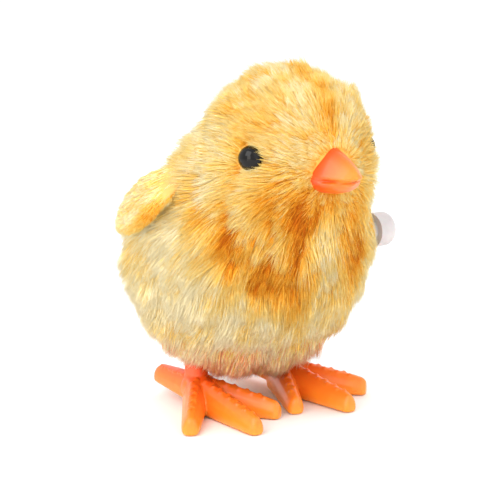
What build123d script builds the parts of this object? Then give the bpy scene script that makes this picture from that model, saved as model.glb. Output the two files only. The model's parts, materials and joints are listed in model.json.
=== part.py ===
from build123d import *
import os
from math import acos, asin, cos, degrees, pi, radians, sin, tan

# Wind-up hopping chick: a plush skin over a two-part plastic shell, with a spring-driven
# gear case inside that kicks both feet down together.
# Millimetres. +Z is up and the chick faces -Y, so its own left side, with the winding knob,
# is +X. The origin is on the ground under the middle of the toy.

os.makedirs("parts", exist_ok=True)

# ---------------------------------------------------------------- driving dimensions
# Outline of the plush body and head, level by level: height, half width, front, rear.
OUTLINE = [
    (7.5, 6.5, 0.5, 13.5),
    (10.0, 13.0, -6.0, 20.0),
    (14.0, 18.9, -11.4, 24.5),
    (20.0, 23.6, -16.8, 28.3),
    (28.0, 26.8, -20.8, 30.3),
    (36.0, 27.4, -22.3, 30.0),
    (42.0, 26.3, -22.8, 28.2),
    (47.0, 24.2, -24.2, 25.8),
    (52.0, 21.3, -25.6, 21.6),
    (57.0, 19.2, -25.9, 15.5),
    (62.0, 17.5, -25.0, 10.0),
    (67.0, 14.8, -22.6, 6.6),
    (71.0, 10.8, -18.8, 2.8),
    (74.5, 5.4, -13.4, -2.6),
]
COAT = 3.0  # plush fabric with its pile pressed flat
SHELL_GAP = 0.3
SHELL_WALL = 1.2

# Shafts of the clockwork as (y, z); all of them run along X.
MODULE = 0.4
WHEEL_TEETH = 30
DRIVE_TEETH = 40
PINION_TEETH = 10
BACKLASH = 0.10
ADDENDUM = 0.85 * MODULE
DEDENDUM = 1.25 * MODULE
PRESSURE = radians(20)
SECOND_DIRECTION = 0  # from the drive shaft to the second shaft, degrees from +Y towards +Z
THIRD_DIRECTION = -50
CAM_DIRECTION = 214
DRIVE = (-4.4, 36.0)
PIVOT = (7.8, 20.0)  # legs

CASE_INSIDE = 8.2  # half width of the gear case's cavity
CASE_WALL = 1.0
CASE_SIDE = CASE_INSIDE + CASE_WALL
GEAR_ROOM = 0.6  # round the gears, to the case wall
AXLE_R = 0.75
ARBOR_R = 1.25
RUNNING = 0.05  # radial clearance of everything that turns

KNOB_TIP = 32.4
KNOB_R = 3.8
KNOB_INNER = 27.4
KNOB_HUB_R = 2.4
KNOB_HUB_INNER = 24.0

CAM_R = 2.2
CAM_THROW = 0.8
CAM_CLEARANCE = 0.25
CAM_SPAN = (2.0, 5.0)
ARM_HALF = 0.8  # half thickness of the follower arm
ARM_ELBOW_Z = 21.5
ARM_TOP_Z = 27.2

ROCKER_R = 2.2
ROCKER_END_R = 1.6
ROCKER_END = 12.6
FOOT_HUB_R = 3.0
STEM_X = (9.5, 13.1)
STEM_HALF_DEPTH = 2.6
SLOT_X = (9.0, 13.6)
SLOT_Y = (4.7, 14.4)

ANKLE = (11.4, 7.8, 4.4)
ANKLE_R = 3.3
TOE_TIP_R = 2.1
TOE_TIP_Z = 1.9
FRONT_TOES = [(23.0, -6.2), (12.6, -13.9), (3.0, -8.1)]  # outer, middle, inner tips
HALLUX = (10.9, 21.1, 4.6)
HALLUX_TIP_R = 2.0

BEAK_Z = 54.2
BEAK_BASE_Y = -22.65
BEAK_TIP_Y = -30.4
STEM_R = 1.6
EYE = (14.6, -15.5, 56.8)
EYE_R = 2.6
EYE_STEM_R = 0.8
EYE_TURN = 59  # the eye's outward direction, degrees from straight ahead

SHOULDER = (20.4, -1.2, 56.6)
WING_TIP = (29.8, 12.1, 40.9)
WING_NORMAL = (0.85, 0.19, 0.49)
WING_HALF_WIDTH = 6.6
WING_HALF_THICKNESS = 2.3


# ---------------------------------------------------------------- shared geometry
def polar(start, distance, direction):
    """Point at a distance and a direction in degrees from a (y, z) point."""
    turn = radians(direction)
    return (start[0] + distance * cos(turn), start[1] + distance * sin(turn))


def pitch_radius(teeth):
    return MODULE * teeth / 2


SHAFT_GAP = pitch_radius(WHEEL_TEETH) + pitch_radius(PINION_TEETH)
SECOND = polar(DRIVE, pitch_radius(DRIVE_TEETH) + pitch_radius(PINION_TEETH), SECOND_DIRECTION)
THIRD = polar(SECOND, SHAFT_GAP, THIRD_DIRECTION)
CAM = polar(THIRD, SHAFT_GAP, CAM_DIRECTION)
ARM_Y = CAM[0] - CAM_R - CAM_THROW - CAM_CLEARANCE - ARM_HALF


def side_plane(x, centre):
    """Plane across X at x, with its origin on a (y, z) centre."""
    return Plane(origin=(x, *centre), x_dir=(0, 1, 0), z_dir=(1, 0, 0))


def facing_plane(y, height):
    """Plane across Y on the middle of the toy, facing forwards."""
    return Plane(origin=(0, y, height), x_dir=(1, 0, 0), z_dir=(0, -1, 0))


def rod(x_from, x_to, centre, radius, mode=Mode.ADD):
    """Cylinder along X, added to or cut from the part being built."""
    with BuildSketch(side_plane(x_from, centre)) as section:
        Circle(radius)
    extrude(section.sketch, amount=x_to - x_from, mode=mode)


def block(x_span, y_span, z_span, mode=Mode.ADD):
    """Box between two corners, added to or cut from the part being built."""
    middle = [(low + high) / 2 for low, high in (x_span, y_span, z_span)]
    with Locations(tuple(middle)):
        Box(x_span[1] - x_span[0], y_span[1] - y_span[0], z_span[1] - z_span[0], mode=mode)


def tooth_half_angle(teeth, radius):
    """Half the angle that one involute tooth takes up at a radius."""
    base = pitch_radius(teeth) * cos(PRESSURE)
    at_pitch = pi / (2 * teeth) - BACKLASH / (2 * pitch_radius(teeth))
    pressure_here = acos(base / radius) if radius > base else 0
    return at_pitch + tan(PRESSURE) - PRESSURE - tan(pressure_here) + pressure_here


def gear(x_from, x_to, centre, teeth, phase):
    """Spur gear along X, with the middle of one tooth at the phase angle."""
    root = pitch_radius(teeth) - DEDENDUM
    tip = pitch_radius(teeth) + ADDENDUM
    radii = [root - DEDENDUM / 2, root, pitch_radius(teeth), tip]
    flank = [(radius, tooth_half_angle(teeth, radius)) for radius in radii]
    upper = [(r * cos(a), r * sin(a)) for r, a in flank]
    lower = [(r * cos(a), -r * sin(a)) for r, a in reversed(flank)]
    with BuildSketch(side_plane(x_from, centre)) as section:
        Circle(root)
        with PolarLocations(0, teeth, start_angle=phase):
            Polygon(*upper, *lower, align=None)
    extrude(section.sketch, amount=x_to - x_from)


def meshing_phase(teeth, phase, direction, follower_teeth):
    """Phase that puts a follower in mesh with a gear at the given phase and direction."""
    driver_part = (direction - phase) * teeth / 360
    return direction + 180 - (0.5 - driver_part) * 360 / follower_teeth


def body_loft(inset):
    """Solid of the chick's outline, moved in by the inset all round."""
    low, high = OUTLINE[0][0], OUTLINE[-1][0]
    middle = (low + high) / 2
    squeeze = 1 - 2 * inset / (high - low)
    with BuildPart() as solid:
        for level, half_width, front, rear in OUTLINE:
            height = middle + (level - middle) * squeeze
            with BuildSketch(Plane(origin=(0, (front + rear) / 2, height))):
                Ellipse(half_width - inset, (rear - front) / 2 - inset)
        loft()
    return solid.part


def write(part, label):
    part.label = label
    export_step(part, f"parts/{label}.step")


outline = body_loft(0)
coat_lining = body_loft(COAT)
shell_outside = body_loft(COAT + SHELL_GAP)
shell_inside = body_loft(COAT + SHELL_GAP + SHELL_WALL)
boss_limit = body_loft(COAT + SHELL_GAP + SHELL_WALL / 2)


# ---------------------------------------------------------------- plush skin
def eye_plane(side):
    """Plane at an eye's centre with its normal pointing out of the head."""
    turn = radians(EYE_TURN)
    outward = (side * sin(turn), -cos(turn), 0)
    return Plane(origin=(side * EYE[0], EYE[1], EYE[2]), z_dir=outward)


EYE_STEM_LENGTH = 5.3
EYE_BACK = 1.3  # from the eye's centre to its flat back
PIECE_CLEARANCE = 0.1  # round the eyes and the beak
BEAK_BASE = (6.0, 5.1)  # half width and half height at the base
KNOB_HOLE_R = 3.2
SLOT_TOP = 22.0

with BuildPart() as coat_openings:
    for side in (1, -1):
        block(sorted((side * SLOT_X[0], side * SLOT_X[1])), SLOT_Y, (0, SLOT_TOP))
        with BuildSketch(eye_plane(side)):
            Circle(EYE_R + PIECE_CLEARANCE)
        extrude(amount=2 * EYE_R, both=True)
    rod(KNOB_HUB_INNER - 4, KNOB_TIP, DRIVE, KNOB_HOLE_R)
    with BuildSketch(facing_plane(BEAK_BASE_Y, BEAK_Z)):
        Ellipse(BEAK_BASE[0] + PIECE_CLEARANCE, BEAK_BASE[1] + PIECE_CLEARANCE)
    extrude(amount=BEAK_BASE_Y - BEAK_TIP_Y)

with BuildPart() as fur_coat:
    add(outline)
    add(coat_lining, mode=Mode.SUBTRACT, clean=False)
    add(coat_openings.part, mode=Mode.SUBTRACT, clean=False)
write(fur_coat.part, "fur_coat")


# ---------------------------------------------------------------- wings
def wing(side):
    """Flat stuffed wing, a rounded oval slab from the shoulder down and back."""
    shoulder = Vector(side * SHOULDER[0], *SHOULDER[1:])
    tip = Vector(side * WING_TIP[0], *WING_TIP[1:])
    along = tip - shoulder
    normal = Vector(side * WING_NORMAL[0], *WING_NORMAL[1:])
    normal = normal - along * (normal.dot(along) / along.dot(along))
    with BuildPart() as slab:
        with BuildSketch(Plane(origin=(shoulder + tip) / 2, x_dir=along, z_dir=normal)):
            Ellipse(along.length / 2, WING_HALF_WIDTH)
        extrude(amount=WING_HALF_THICKNESS, both=True)
        rim = slab.edges()
        fillet(rim, WING_HALF_THICKNESS * 0.85)
        add(outline, mode=Mode.SUBTRACT)
    return slab.part


for side, name in ((1, "wing_left"), (-1, "wing_right")):
    write(wing(side), name)

# ---------------------------------------------------------------- beak and eyes
BEAK_SECTIONS = [  # y, height of the centre, half width, half height
    (BEAK_BASE_Y, BEAK_Z, *BEAK_BASE),
    (-26.4, 54.0, 4.3, 4.4),
    (-29.2, 53.5, 2.4, 3.2),
    (BEAK_TIP_Y, 53.3, 1.2, 2.3),
]
CLEFT_Z = 52.6  # groove between the upper and the lower half of the beak
CLEFT_HALF = 0.35
CLEFT_ROOT_Y = -28.4
CLEFT_HALF_LENGTH = 4.0
BEAK_STEM_END = -18.6
with BuildPart() as beak:
    for y, height, half_width, half_height in BEAK_SECTIONS:
        with BuildSketch(facing_plane(y, height)):
            Ellipse(half_width, half_height)
    loft()
    block(
        (-CLEFT_HALF_LENGTH, CLEFT_HALF_LENGTH),
        (BEAK_TIP_Y - 1, CLEFT_ROOT_Y),
        (CLEFT_Z - CLEFT_HALF, CLEFT_Z + CLEFT_HALF),
        mode=Mode.SUBTRACT,
    )
    with BuildSketch(facing_plane(BEAK_STEM_END, BEAK_Z)):
        Circle(STEM_R)
    extrude(until=Until.NEXT)
write(beak.part, "beak")

WASHER_T = 0.8
BEAK_WASHER_Y = -19.6  # its inner face
BEAK_WASHER_RIM = 2.0
EYE_WASHER_RIM = 1.4
with BuildPart() as beak_washer:
    with BuildSketch(facing_plane(BEAK_WASHER_Y, BEAK_Z)):
        Circle(STEM_R + BEAK_WASHER_RIM)
        Circle(STEM_R, mode=Mode.SUBTRACT)
    extrude(amount=WASHER_T)
write(beak_washer.part, "beak_washer")


def eye(side):
    """Domed eye with a flat back, and a plain stem that goes through skin and shell."""
    with BuildPart(eye_plane(side)) as bead:
        Sphere(EYE_R, arc_size1=-degrees(asin(EYE_BACK / EYE_R)), align=None)
        with BuildSketch(eye_plane(side).offset(-EYE_STEM_LENGTH)):
            Circle(EYE_STEM_R)
        extrude(amount=EYE_STEM_LENGTH)
    return bead.part


for side, name in ((1, "eye_left"), (-1, "eye_right")):
    write(eye(side), name)

EYE_WASHER_DEPTH = 4.6  # from the eye's centre to the washer's inner face
with BuildPart() as eye_washers:
    for side in (1, -1):
        with BuildSketch(eye_plane(side).offset(-EYE_WASHER_DEPTH)):
            Circle(EYE_STEM_R + EYE_WASHER_RIM)
            Circle(EYE_STEM_R, mode=Mode.SUBTRACT)
        extrude(amount=WASHER_T)
write(eye_washers.part, "eye_washers")

# ---------------------------------------------------------------- plastic shell
BOSS_R = 2.2
SHELL_SCREWS = [(-7.0, 61.0), (20.4, 42.0), (-13.2, 25.6), (19.6, 22.4)]
LOCATING_POSTS = [(0.0, 43.0), (15.0, 33.0)]
POST_R = 1.4
SCREW_R = 0.8
SCREW_HEAD_R = 1.5
SCREW_HEAD_T = 1.0
SCREW_REACH = 6.0  # each way from the joint plane
WELL_R = SCREW_HEAD_R + 0.2
FAR = 40.0  # beyond the outline in every direction


def shell_half(side):
    """Half of the shell with its screw bosses and the posts that hold the gear case."""
    with BuildPart() as inner:
        for centre in SHELL_SCREWS:
            rod(0, side * FAR, centre, BOSS_R)
        for centre in LOCATING_POSTS:
            rod(side * CASE_SIDE, side * FAR, centre, POST_R)
        add(boss_limit, mode=Mode.INTERSECT)
    with BuildPart() as half:
        add(shell_outside)
        add(shell_inside, mode=Mode.SUBTRACT)
        block(sorted((0, -side * FAR)), (-FAR, FAR), (0, 2 * FAR), mode=Mode.SUBTRACT)
        add(inner.part)
        slot = sorted((side * SLOT_X[0], side * SLOT_X[1]))
        block(slot, SLOT_Y, (0, SLOT_TOP), mode=Mode.SUBTRACT)
        for centre in SHELL_SCREWS:
            rod(0, side * SCREW_REACH, centre, SCREW_R, mode=Mode.SUBTRACT)
            if side > 0:
                rod(SCREW_REACH, FAR, centre, WELL_R, mode=Mode.SUBTRACT)
        with BuildSketch(eye_plane(side).offset(-EYE_STEM_LENGTH)):
            Circle(EYE_STEM_R)
        extrude(amount=EYE_STEM_LENGTH, mode=Mode.SUBTRACT)
        with BuildSketch(facing_plane(BEAK_STEM_END, BEAK_Z)):
            Circle(STEM_R)
        extrude(amount=BEAK_STEM_END - BEAK_TIP_Y, mode=Mode.SUBTRACT)
        if side > 0:
            rod(CASE_SIDE, FAR, DRIVE, KNOB_HOLE_R, mode=Mode.SUBTRACT)
    return half.part


for side, name in ((1, "shell_left"), (-1, "shell_right")):
    write(shell_half(side), name)


def screws(centres, reach, label):
    """Group of identical screws along X with their heads on the left."""
    with BuildPart() as group:
        for centre in centres:
            rod(-reach, reach, centre, SCREW_R)
            rod(reach, reach + SCREW_HEAD_T, centre, SCREW_HEAD_R)
            block(
                (reach + SCREW_HEAD_T / 2, reach + 2 * SCREW_HEAD_T),
                (centre[0] - SCREW_HEAD_R, centre[0] + SCREW_HEAD_R),
                (centre[1] - SCREW_R / 4, centre[1] + SCREW_R / 4),
                mode=Mode.SUBTRACT,
            )
    write(group.part, label)


screws(SHELL_SCREWS, SCREW_REACH, "shell_screws")

# ---------------------------------------------------------------- gear case
CASE_SCREWS = [polar(DRIVE, 10.9, 148), polar(DRIVE, 11.2, 72), polar(THIRD, 9.2, 10)]
EAR_R = 2.0
TIP_DRIVE = pitch_radius(DRIVE_TEETH) + ADDENDUM
TIP_WHEEL = pitch_radius(WHEEL_TEETH) + ADDENDUM
ROCKER_ROOM = 1.0  # round the rocker, to the case wall
ARM_ROOM_Z = ARM_ELBOW_Z - 0.6
ARM_ROOM_R = 2.8
CAVITY = [
    (DRIVE, TIP_DRIVE + GEAR_ROOM),
    (SECOND, TIP_WHEEL + GEAR_ROOM),
    (THIRD, TIP_WHEEL + GEAR_ROOM),
    (PIVOT, ROCKER_R + ROCKER_ROOM),
    ((ARM_Y, ARM_ROOM_Z), ARM_ROOM_R),
]
# The mainspring's strip; its outer end bears on a post of the left case half.
STRIP = 0.22
SPRING_SPAN = (1.8, 7.2)
SPRING_STEP = 0.42  # the spiral's centre moves by this between half turns
SPRING_FIRST_R = ARBOR_R + STRIP / 2 + 0.02
SPRING_HALF_TURNS = 14
SPRING_END = SPRING_FIRST_R + SPRING_HALF_TURNS * SPRING_STEP
SPRING_POST_R = 0.6
SPRING_POST_INNER = 1.4
SPRING_POST = (DRIVE[0] + SPRING_END + STRIP / 2 + SPRING_POST_R, DRIVE[1])
RETURN_Z = 23.3
RETURN_X = 6.4
RETURN_POST = (12.6, RETURN_Z)
RETURN_PIN_R = 0.5


def case_outline(x_from, x_to, extra, mode=Mode.ADD):
    """Hull of the shaft circles, grown by extra, between two X positions."""
    with BuildSketch(side_plane(x_from, (0, 0))) as section:
        with BuildLine():
            for centre, radius in CAVITY:
                CenterArc(centre, radius + extra, 0, 360)
        make_hull()
    extrude(section.sketch, amount=x_to - x_from, mode=mode)


def case_half(side):
    """Half of the gear case, with bearings, screw ears and spring posts."""
    with BuildPart() as half:
        case_outline(0, side * CASE_SIDE, CASE_WALL)
        for centre in CASE_SCREWS:
            rod(0, side * CASE_SIDE, centre, EAR_R)
        case_outline(0, side * CASE_INSIDE, 0, mode=Mode.SUBTRACT)
        for centre in CASE_SCREWS:
            rod(0, side * CASE_INSIDE, centre, SCREW_R, mode=Mode.SUBTRACT)
        rod(0, side * FAR, DRIVE, ARBOR_R + RUNNING, mode=Mode.SUBTRACT)
        rod(0, side * FAR, PIVOT, ROCKER_R + RUNNING, mode=Mode.SUBTRACT)
        for centre in (SECOND, THIRD, CAM):
            rod(0, side * FAR, centre, AXLE_R + RUNNING, mode=Mode.SUBTRACT)
        if side > 0:
            rod(SPRING_POST_INNER, CASE_INSIDE, SPRING_POST, SPRING_POST_R)
            rod(RETURN_X - 1, CASE_INSIDE, RETURN_POST, RETURN_PIN_R)
            for centre in CASE_SCREWS:
                rod(CASE_INSIDE, CASE_SIDE, centre, SCREW_HEAD_R + RUNNING, mode=Mode.SUBTRACT)
    return half.part


for side, name in ((1, "case_left"), (-1, "case_right")):
    write(case_half(side), name)
screws(CASE_SCREWS, CASE_INSIDE, "case_screws")

# ---------------------------------------------------------------- mainspring
def half_turns(offset):
    """Start, middle and end of each half turn of the spiral, moved out by the offset."""
    arcs = []
    for index in range(SPRING_HALF_TURNS):
        radius = SPRING_FIRST_R + index * SPRING_STEP + offset
        centre = (index % 2) * SPRING_STEP
        way = 1 if index % 2 == 0 else -1
        arcs.append(
            (
                (centre + way * radius, 0),
                (centre, way * radius),
                (centre - way * radius, 0),
            )
        )
    return arcs


with BuildPart() as mainspring:
    with BuildSketch(side_plane(SPRING_SPAN[0], DRIVE)):
        with BuildLine():
            inner_side = half_turns(-STRIP / 2)
            outer_side = half_turns(STRIP / 2)
            for arc in inner_side + outer_side:
                ThreePointArc(*arc)
            Line(inner_side[0][0], outer_side[0][0])
            Line(inner_side[-1][-1], outer_side[-1][-1])
        make_face()
    extrude(amount=SPRING_SPAN[1] - SPRING_SPAN[0])
write(mainspring.part, "mainspring")

# ---------------------------------------------------------------- drive wheel and ratchet
DRIVE_GEAR_SPAN = (-1.8, 0.0)
PAWL_SPAN = (0.15, 1.25)
RATCHET_TEETH = 12
RATCHET_R = 3.2
RATCHET_ROOT = 2.4
PAWL_PIVOT = polar(DRIVE, 6.0, 58)
PAWL_PIN_R = 0.6
GEAR_WINDOW_R = 1.4

with BuildPart() as drive_gear:
    gear(*DRIVE_GEAR_SPAN, DRIVE, DRIVE_TEETH, 0)
    rod(*DRIVE_GEAR_SPAN, DRIVE, ARBOR_R + RUNNING, mode=Mode.SUBTRACT)
    for direction in (130, 190, 250, 310):
        rod(*DRIVE_GEAR_SPAN, polar(DRIVE, 5.2, direction), GEAR_WINDOW_R, mode=Mode.SUBTRACT)
    rod(DRIVE_GEAR_SPAN[1], PAWL_SPAN[1] + 0.2, PAWL_PIVOT, PAWL_PIN_R)
write(drive_gear.part, "drive_gear")

with BuildPart() as ratchet_wheel:
    with BuildSketch(side_plane(PAWL_SPAN[0], DRIVE)):
        Circle(RATCHET_ROOT)
        with PolarLocations(0, RATCHET_TEETH):
            step = 2 * pi / RATCHET_TEETH
            Polygon(
                (RATCHET_ROOT * cos(0) - 0.5, 0),
                (RATCHET_ROOT, 0),
                (RATCHET_R * cos(step), RATCHET_R * sin(step)),
                ((RATCHET_ROOT - 0.5) * cos(step), (RATCHET_ROOT - 0.5) * sin(step)),
                align=None,
            )
        Circle(ARBOR_R, mode=Mode.SUBTRACT)
    extrude(amount=PAWL_SPAN[1] - PAWL_SPAN[0])
write(ratchet_wheel.part, "ratchet_wheel")

PAWL_TIP = [(2.62, 2.0), (3.7, 2.0), (3.7, 14.0), (3.02, 14.0)]  # radius, degrees
PAWL_NOSE = polar((0, 0), 3.75, 8)
PAWL_NOSE_R = 0.3
PAWL_EYE_R = PAWL_PIN_R + 0.55
pawl_pivot_local = (PAWL_PIVOT[0] - DRIVE[0], PAWL_PIVOT[1] - DRIVE[1])

with BuildPart() as pawl:
    with BuildSketch(side_plane(PAWL_SPAN[0], DRIVE)):
        with BuildLine():
            CenterArc(PAWL_NOSE, PAWL_NOSE_R, 0, 360)
            CenterArc(pawl_pivot_local, PAWL_EYE_R, 0, 360)
        make_hull()
        Polygon(*[polar((0, 0), radius, turn) for radius, turn in PAWL_TIP], align=None)
        with Locations(pawl_pivot_local):
            Circle(PAWL_PIN_R + RUNNING, mode=Mode.SUBTRACT)
    extrude(amount=PAWL_SPAN[1] - PAWL_SPAN[0])
write(pawl.part, "pawl")

with BuildPart() as winding_arbor:
    rod(-CASE_SIDE + 0.1, KNOB_TIP - 2, DRIVE, ARBOR_R)
write(winding_arbor.part, "winding_arbor")

KNOB_EDGE = 1.7
with BuildPart() as winding_knob:
    rod(KNOB_HUB_INNER, KNOB_INNER, DRIVE, KNOB_HUB_R)
    rod(KNOB_INNER, KNOB_TIP, DRIVE, KNOB_R)
    knob_rim = winding_knob.edges().filter_by(GeomType.CIRCLE).sort_by(Axis.X)[-1]
    fillet(knob_rim, KNOB_EDGE)
    rod(KNOB_HUB_INNER, KNOB_TIP - 2, DRIVE, ARBOR_R, mode=Mode.SUBTRACT)
write(winding_knob.part, "winding_knob")

# ---------------------------------------------------------------- second, third and cam shafts
SECOND_WHEEL_SPAN = (-4.4, -3.2)
THIRD_WHEEL_SPAN = (-6.8, -5.6)
PINION_EXTRA = 0.2  # a pinion is this much wider than its wheel on each side
HUB_R = 1.5


def axle(centre, label):
    with BuildPart() as pin:
        rod(-CASE_SIDE + 0.1, CASE_SIDE - 0.1, centre, AXLE_R)
    write(pin.part, label)


def widened(span):
    return (span[0] - PINION_EXTRA, span[1] + PINION_EXTRA)


def compound_wheel(centre, pinion_span, pinion_phase, wheel_span):
    """Wheel and pinion moulded in one on a common hub."""
    with BuildPart() as wheel:
        gear(*pinion_span, centre, PINION_TEETH, pinion_phase)
        gear(*wheel_span, centre, WHEEL_TEETH, 0)
        rod(wheel_span[1], pinion_span[0], centre, HUB_R)
        rod(-FAR, FAR, centre, AXLE_R, mode=Mode.SUBTRACT)
    return wheel.part


second_phase = meshing_phase(DRIVE_TEETH, 0, SECOND_DIRECTION, PINION_TEETH)
third_phase = meshing_phase(WHEEL_TEETH, 0, THIRD_DIRECTION, PINION_TEETH)
cam_phase = meshing_phase(WHEEL_TEETH, 0, CAM_DIRECTION, PINION_TEETH)

write(
    compound_wheel(SECOND, widened(DRIVE_GEAR_SPAN), second_phase, SECOND_WHEEL_SPAN),
    "second_wheel",
)
write(
    compound_wheel(THIRD, widened(SECOND_WHEEL_SPAN), third_phase, THIRD_WHEEL_SPAN),
    "third_wheel",
)
axle(SECOND, "second_axle")
axle(THIRD, "third_axle")
axle(CAM, "cam_axle")

with BuildPart() as cam_wheel:
    gear(*widened(THIRD_WHEEL_SPAN), CAM, PINION_TEETH, cam_phase)
    rod(THIRD_WHEEL_SPAN[1] + PINION_EXTRA, CAM_SPAN[0], CAM, HUB_R)
    rod(*CAM_SPAN, (CAM[0], CAM[1] + CAM_THROW), CAM_R)
    rod(-FAR, FAR, CAM, AXLE_R, mode=Mode.SUBTRACT)
write(cam_wheel.part, "cam_wheel")

# ---------------------------------------------------------------- legs
FLAT = 0.9  # the flat on the rocker's ends, from its axis

with BuildPart() as leg_rocker:
    rod(-CASE_SIDE - 0.2, CASE_SIDE + 0.2, PIVOT, ROCKER_R)
    for side in (1, -1):
        rod(side * CASE_SIDE, side * ROCKER_END, PIVOT, ROCKER_END_R)
        block(
            sorted((side * STEM_X[0], side * FAR)),
            (PIVOT[0] - 4, PIVOT[0] + 4),
            (PIVOT[1] + FLAT, PIVOT[1] + 4),
            mode=Mode.SUBTRACT,
        )
        rod(side * CASE_INSIDE, side * FAR, PIVOT, SCREW_R, mode=Mode.SUBTRACT)
    arm_path = [PIVOT, (ARM_Y, ARM_ELBOW_Z), (ARM_Y, ARM_TOP_Z)]
    for start, end in zip(arm_path, arm_path[1:]):
        with BuildSketch(side_plane(CAM_SPAN[0], (0, 0))):
            with BuildLine():
                for point in (start, end):
                    CenterArc(point, ARM_HALF, 0, 360)
            make_hull()
        extrude(amount=CAM_SPAN[1] - CAM_SPAN[0])
    rod(CAM_SPAN[1], RETURN_X + 0.8, (ARM_Y, RETURN_Z), RETURN_PIN_R)
write(leg_rocker.part, "leg_rocker")

SCREW_END = 9.0
STEM_ROUND = 1.2
LEG_ROOT_R = 0.96 * ANKLE_R  # where each toe starts inside the ankle


def foot(side):
    """Foot with three front toes, a hind toe, and a stem up to its hub on the rocker."""
    ankle = Vector(side * ANKLE[0], *ANKLE[1:])
    tips = [(Vector(side * x, y, TOE_TIP_Z), TOE_TIP_R) for x, y in FRONT_TOES]
    tips.append((Vector(side * HALLUX[0], *HALLUX[1:]), HALLUX_TIP_R))
    with BuildPart() as solid:
        with Locations(ankle):
            Sphere(ANKLE_R)
        for tip, tip_r in tips:
            along = tip - ankle
            with BuildSketch(Plane(origin=ankle, z_dir=along)):
                Circle(LEG_ROOT_R)
            with BuildSketch(Plane(origin=tip, z_dir=along)):
                Circle(tip_r)
            loft()
            with Locations(tip):
                Sphere(tip_r)
        split(bisect_by=Plane.XY, keep=Keep.TOP)
        stem_x = sorted((side * STEM_X[0], side * STEM_X[1]))
        block(
            stem_x,
            (PIVOT[0] - STEM_HALF_DEPTH, PIVOT[0] + STEM_HALF_DEPTH),
            (ANKLE[2], PIVOT[1]),
        )
        stem_edges = solid.edges().filter_by(Axis.Z)
        fillet(stem_edges, STEM_ROUND)
        rod(side * STEM_X[0], side * STEM_X[1], PIVOT, FOOT_HUB_R)
        with BuildSketch(side_plane(side * STEM_X[0], PIVOT)):
            Circle(ROCKER_END_R)
            with Locations((0, FLAT + 2)):
                Rectangle(8, 4, mode=Mode.SUBTRACT)
        extrude(amount=side * (ROCKER_END - STEM_X[0]), mode=Mode.SUBTRACT)
        rod(side * STEM_X[0], side * FAR, PIVOT, SCREW_R, mode=Mode.SUBTRACT)
    return solid.part


for side, name in ((1, "foot_left"), (-1, "foot_right")):
    write(foot(side), name)

with BuildPart() as foot_screws:
    for side in (1, -1):
        rod(side * SCREW_END, side * STEM_X[1], PIVOT, SCREW_R)
        rod(side * STEM_X[1], side * (STEM_X[1] + SCREW_HEAD_T), PIVOT, SCREW_HEAD_R)
write(foot_screws.part, "foot_screws")

# ---------------------------------------------------------------- return spring of the legs
COIL_R = 0.65
WIRE_R = 0.16
COIL_PITCH = 0.55
BRIDGE_R = 0.19  # short bar from each end loop to the coil, a little thicker than the wire
BRIDGE_OVERRUN = 0.1
LOOP_R = RETURN_PIN_R + WIRE_R + 0.04
COIL_START = ARM_Y + LOOP_R
COIL_END = RETURN_POST[0] - LOOP_R

with BuildPart() as return_spring:
    with BuildLine() as coil:
        Helix(
            COIL_PITCH,
            COIL_END - COIL_START,
            COIL_R,
            center=(RETURN_X, COIL_START, RETURN_Z),
            direction=(0, 1, 0),
        )
    with BuildSketch(Plane(origin=coil.line @ 0, z_dir=coil.line % 0)):
        Circle(WIRE_R)
    sweep(path=coil.line, is_frenet=True)
    for centre_y, rim_y, coil_tip in (
        (ARM_Y, COIL_START, coil.line @ 0),
        (RETURN_POST[0], COIL_END, coil.line @ 1),
    ):
        with Locations(Location((RETURN_X, centre_y, RETURN_Z), (0, 90, 0))):
            Torus(LOOP_R, WIRE_R)
        rim = Vector(RETURN_X, rim_y, RETURN_Z)
        way = (coil_tip - rim).normalized()
        with BuildSketch(Plane(origin=rim - way * BRIDGE_OVERRUN, z_dir=way)):
            Circle(BRIDGE_R)
        extrude(amount=(coil_tip - rim).length + 2 * BRIDGE_OVERRUN)
write(return_spring.part, "return_spring")
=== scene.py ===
import json
from math import cos, pi, radians, sin

import bmesh
import bpy
import numpy as np
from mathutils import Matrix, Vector
from mathutils.kdtree import KDTree


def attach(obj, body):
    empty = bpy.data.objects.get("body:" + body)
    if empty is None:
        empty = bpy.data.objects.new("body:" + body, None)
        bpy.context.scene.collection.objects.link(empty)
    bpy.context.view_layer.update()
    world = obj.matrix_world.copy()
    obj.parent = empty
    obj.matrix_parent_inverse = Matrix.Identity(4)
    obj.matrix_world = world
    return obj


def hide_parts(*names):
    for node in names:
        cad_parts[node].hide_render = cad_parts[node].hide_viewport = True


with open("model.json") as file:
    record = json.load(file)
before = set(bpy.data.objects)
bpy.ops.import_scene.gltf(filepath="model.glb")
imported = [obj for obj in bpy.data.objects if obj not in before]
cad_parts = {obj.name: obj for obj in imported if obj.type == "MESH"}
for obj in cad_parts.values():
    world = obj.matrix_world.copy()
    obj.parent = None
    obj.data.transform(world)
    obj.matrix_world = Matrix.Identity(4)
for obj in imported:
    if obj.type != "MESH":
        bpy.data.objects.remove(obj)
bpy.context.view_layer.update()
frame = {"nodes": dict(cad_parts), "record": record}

MM = 0.001
SEED = 7

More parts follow.
